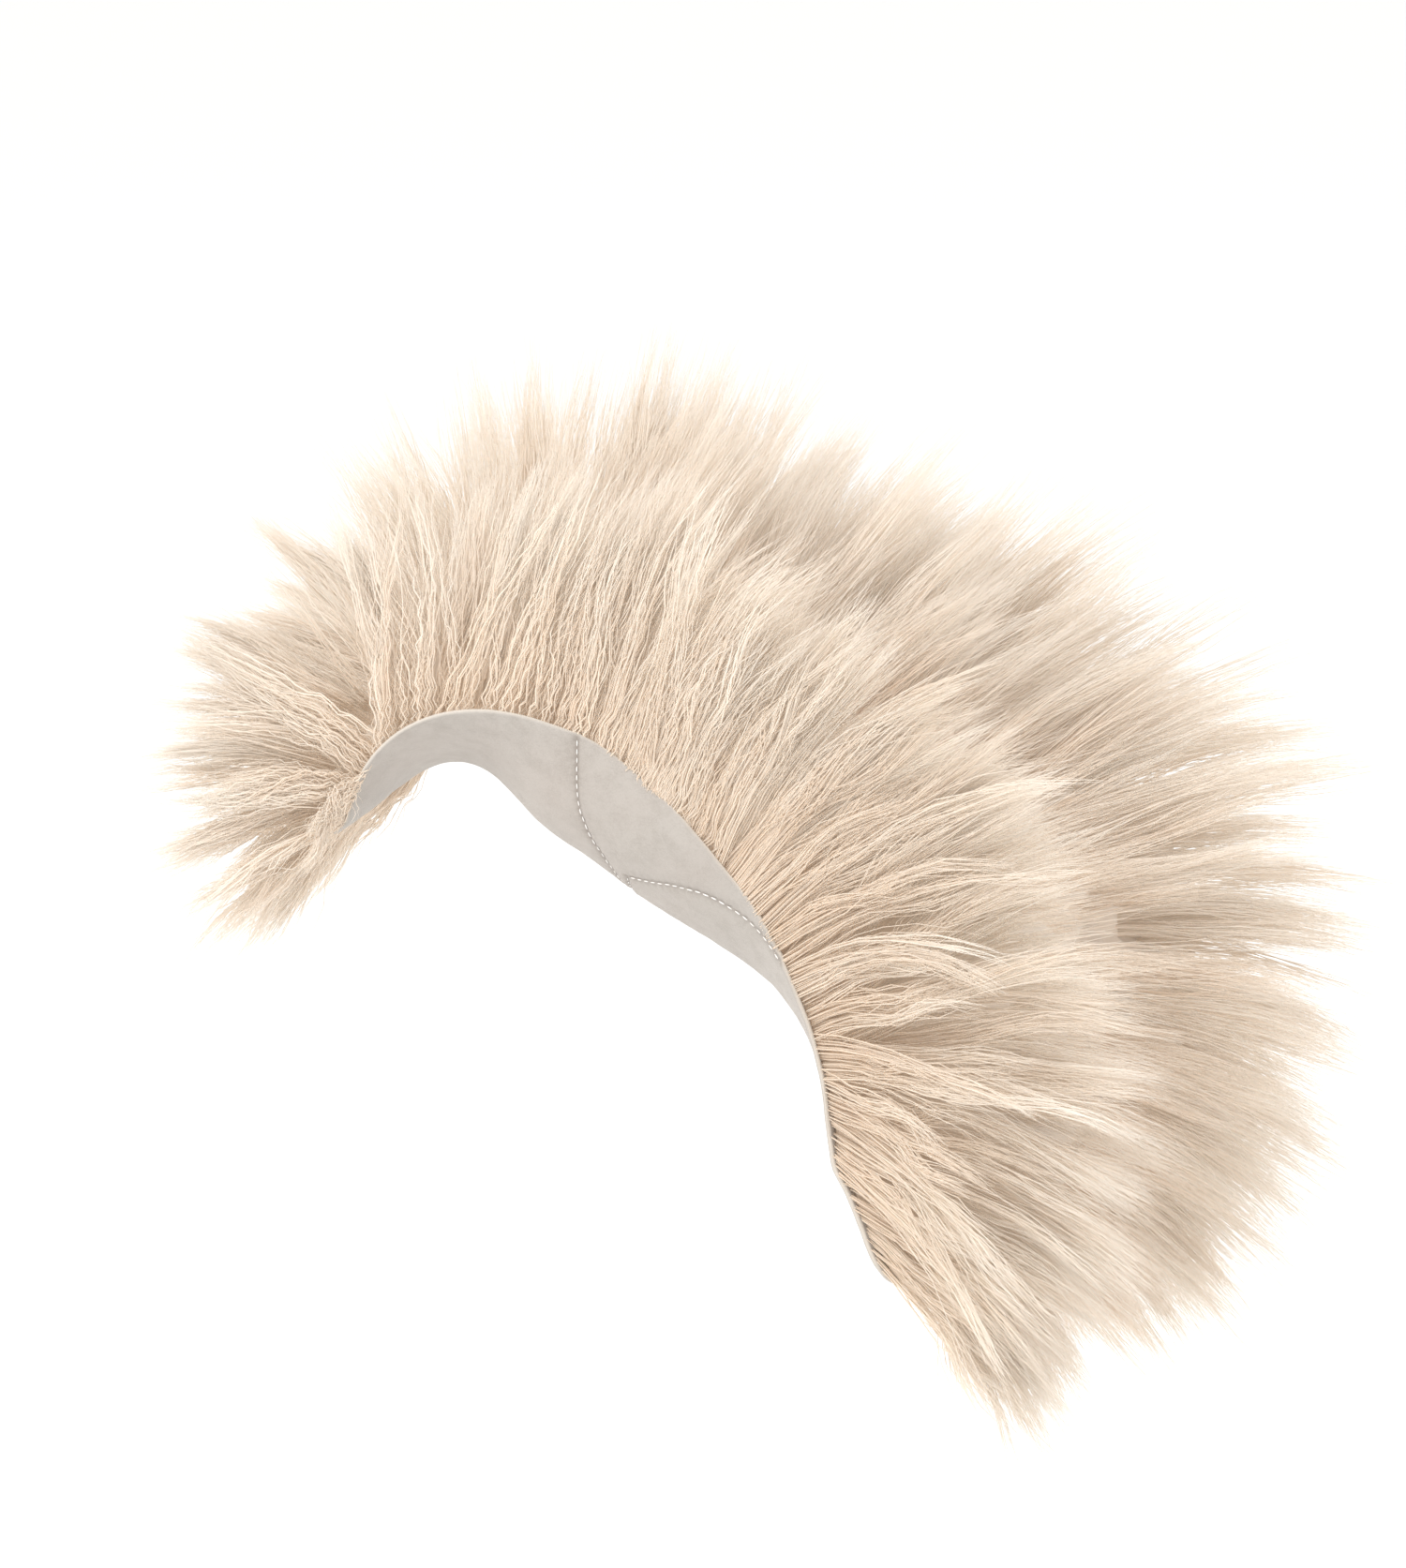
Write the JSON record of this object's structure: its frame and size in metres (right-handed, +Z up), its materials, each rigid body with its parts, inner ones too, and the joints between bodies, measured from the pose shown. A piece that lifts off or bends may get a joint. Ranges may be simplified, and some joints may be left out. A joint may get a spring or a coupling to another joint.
{
  "type": "sheepskin chair pad",
  "caption": "Long-wool sheepskin pad pieced from sewn hide panels, cream wool above and pale grey suede below, held up by its front edge and bent into an arch.",
  "frame": {"origin": "the grip: the point of the front edge, on the suede, where a thumb holds the pad up", "axes": "+X along the held front edge to the right, +Y from the held edge to the far edge, +Z up as the pad hangs"},
  "size_m": [0.5604, 0.5313, 0.4755],
  "materials": {
    "suede": "napped matt suede, pale warm grey",
    "wool": "long loose wool, warm cream, soft sheen",
    "thread": "off-white spun polyester thread"
  },
  "bodies": {
    "centre": {"hide_panel_thumb": "suede", "hide_panel_rim": "suede", "hide_panel_front_right": "suede", "hide_panel_middle_left": "suede", "hide_panel_middle_right": "suede", "hide_panel_rear_left": "suede", "hide_panel_rear_right": "suede", "wool_thumb_side_front": "wool", "wool_thumb_side_middle": "wool", "wool_thumb_side_rear": "wool", "wool_crown_front": "wool", "wool_crown_middle": "wool", "wool_crown_rear": "wool", "wool_shoulder_front": "wool", "wool_shoulder_middle": "wool", "wool_shoulder_rear": "wool", "seam_thread_thumb": "thread", "seam_thread_corner": "thread", "seam_thread_rim": "thread", "seam_thread_spine": "thread", "seam_thread_back_spine": "thread", "seam_thread_left_cross": "thread", "seam_thread_right_cross": "thread", "seam_thread_left_rear": "thread", "seam_thread_right_rear": "thread"},
    "left_flap": {"hide_panel_left_flap_front": "suede", "hide_panel_left_flap_rear": "suede", "wool_left_flap_front": "wool", "wool_left_flap_middle": "wool", "wool_left_flap_rear": "wool", "seam_thread_left_flap": "thread"},
    "right_flap": {"hide_panel_right_flap_front": "suede", "hide_panel_right_flap_rear": "suede", "wool_right_flap_front": "wool", "wool_right_flap_middle": "wool", "wool_right_flap_rear": "wool", "seam_thread_right_flap": "thread"}
  },
  "joints": [
    {"name": "left_flap_fold", "type": "hinge", "parent": "centre", "child": "left_flap", "pos_m": [-0.0956, 0.0684, -0.0362], "axis": [-0.001, 0.9999, 0.0102], "range_deg": [-22, 16], "stiffness_Nm_per_rad": 0.8, "springref_deg": 4.01},
    {"name": "right_flap_fold", "type": "hinge", "parent": "centre", "child": "right_flap", "pos_m": [0.1135, 0.0694, -0.1626], "axis": [-0.0306, -0.9915, -0.1267], "range_deg": [-24, 18], "stiffness_Nm_per_rad": 1.2, "springref_deg": 6.88}
  ]
}
